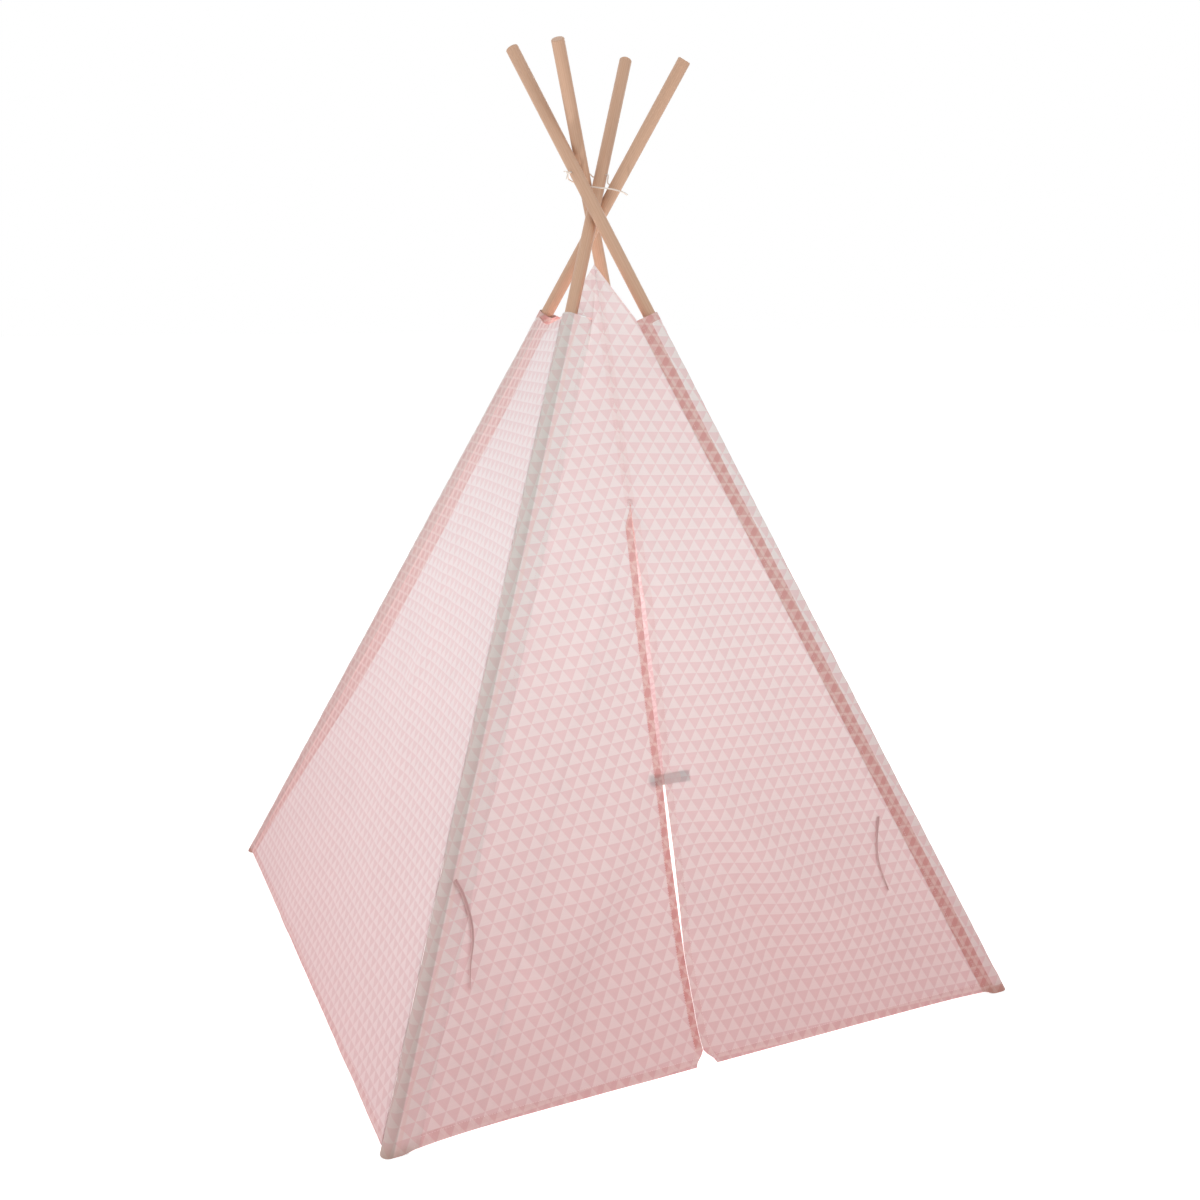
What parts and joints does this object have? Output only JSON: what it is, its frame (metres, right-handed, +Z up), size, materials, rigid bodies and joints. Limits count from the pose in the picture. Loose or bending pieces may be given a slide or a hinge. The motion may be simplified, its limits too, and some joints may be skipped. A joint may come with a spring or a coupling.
{
  "type": "kids teepee",
  "caption": "Square play tent on crossed, lashed wooden poles in cloth sleeves, with plain side walls and a slit door whose two flaps fold back.",
  "frame": {"origin": "middle of the square footprint, on the floor", "axes": "+X to the right seen from the door, +Y from the door to the back wall, +Z up"},
  "size_m": [1.1304, 1.1302, 1.5963],
  "materials": {
    "pole_wood": "bare sanded pine",
    "ferrule_steel": "zinc plated tube",
    "printed_cotton": "plain weave, printed with triangles",
    "sleeve_cotton": "plain weave, two layers",
    "trim_cotton": "woven tape",
    "cord_cotton": "twisted cotton"
  },
  "bodies": {
    "lashing": {"lash_cord": "cord_cotton", "lash_knot": "cord_cotton"},
    "front_left_pole": {"front_left_pole_lower": "pole_wood", "front_left_pole_upper": "pole_wood", "front_left_ferrule": "ferrule_steel", "front_left_sleeve": "sleeve_cotton", "left_tie": "trim_cotton"},
    "front_right_pole": {"front_right_pole_lower": "pole_wood", "front_right_pole_upper": "pole_wood", "front_right_ferrule": "ferrule_steel", "front_right_sleeve": "sleeve_cotton", "right_tie": "trim_cotton"},
    "back_left_pole": {"back_left_pole_lower": "pole_wood", "back_left_pole_upper": "pole_wood", "back_left_ferrule": "ferrule_steel", "back_left_sleeve": "sleeve_cotton"},
    "back_right_pole": {"back_right_pole_lower": "pole_wood", "back_right_pole_upper": "pole_wood", "back_right_ferrule": "ferrule_steel", "back_right_sleeve": "sleeve_cotton"},
    "front_cloth": {"front_left_panel": "printed_cotton", "front_right_panel": "printed_cotton"},
    "left_cloth": {"left_wall": "printed_cotton"},
    "right_cloth": {"right_wall": "printed_cotton"},
    "back_cloth": {"back_wall": "printed_cotton"},
    "left_flap": {"left_door_flap": "printed_cotton", "closure_patch": "trim_cotton"},
    "right_flap": {"right_door_flap": "printed_cotton", "closure_strap": "trim_cotton"}
  },
  "joints": [
    {"name": "frame_fold", "type": "hinge", "parent": "lashing", "child": "back_left_pole", "pos_m": [0.01659, -0.01361, 1.33], "axis": [-0.7052, -0.709, 0], "range_deg": [0, 25], "deforming": ["left_wall", "right_wall", "back_wall", "front_left_panel", "front_right_panel", "left_door_flap", "right_door_flap", "closure_strap", "closure_patch", "lash_cord", "back_left_sleeve", "back_right_sleeve", "front_left_sleeve", "front_right_sleeve"]},
    {"name": "back_right_fold", "type": "hinge", "parent": "lashing", "child": "back_right_pole", "pos_m": [0.0083, 0.01891, 1.33], "axis": [-0.7001, 0.7141, 0], "range_deg": [0, 25]},
    {"name": "front_left_fold", "type": "hinge", "parent": "lashing", "child": "front_left_pole", "pos_m": [-0.0083, -0.03021, 1.33], "axis": [0.6924, -0.7215, 0], "range_deg": [0, 25]},
    {"name": "front_right_fold", "type": "hinge", "parent": "lashing", "child": "front_right_pole", "pos_m": [-0.01659, -0.05509, 1.33], "axis": [0.6579, 0.7531, 0], "range_deg": [0, 25]},
    {"name": "front_cloth_fold", "type": "hinge", "parent": "lashing", "child": "front_cloth", "pos_m": [-0.01244, -0.04265, 1.33], "axis": [1, 0, 0], "range_deg": [0, 17.85]},
    {"name": "left_cloth_fold", "type": "hinge", "parent": "lashing", "child": "left_cloth", "pos_m": [0.00415, -0.02191, 1.33], "axis": [0, -1, 0], "range_deg": [0, 18.88]},
    {"name": "right_cloth_fold", "type": "hinge", "parent": "lashing", "child": "right_cloth", "pos_m": [-0.00415, -0.01809, 1.33], "axis": [0, 1, 0], "range_deg": [0, 19.25]},
    {"name": "back_cloth_fold", "type": "hinge", "parent": "lashing", "child": "back_cloth", "pos_m": [0.01244, 0.00265, 1.33], "axis": [-1, 0, 0], "range_deg": [0, 18.6]},
    {"name": "left_flap_hinge", "type": "hinge", "parent": "front_cloth", "child": "left_flap", "pos_m": [-0.22793, -0.40088, 0.4315], "axis": [0.3984, 0.3269, 0.857], "range_deg": [-140, 0]},
    {"name": "right_flap_hinge", "type": "hinge", "parent": "front_cloth", "child": "right_flap", "pos_m": [0.1957, -0.40088, 0.4315], "axis": [0.4506, -0.3182, -0.8341], "range_deg": [-140, 0]}
  ],
  "couplings": [
    {"joint": "back_right_fold", "follows": "frame_fold", "ratio": 1},
    {"joint": "front_left_fold", "follows": "frame_fold", "ratio": 1},
    {"joint": "front_right_fold", "follows": "frame_fold", "ratio": 1},
    {"joint": "front_cloth_fold", "follows": "frame_fold", "ratio": 0.714},
    {"joint": "left_cloth_fold", "follows": "frame_fold", "ratio": 0.755},
    {"joint": "right_cloth_fold", "follows": "frame_fold", "ratio": 0.77},
    {"joint": "back_cloth_fold", "follows": "frame_fold", "ratio": 0.744}
  ]
}
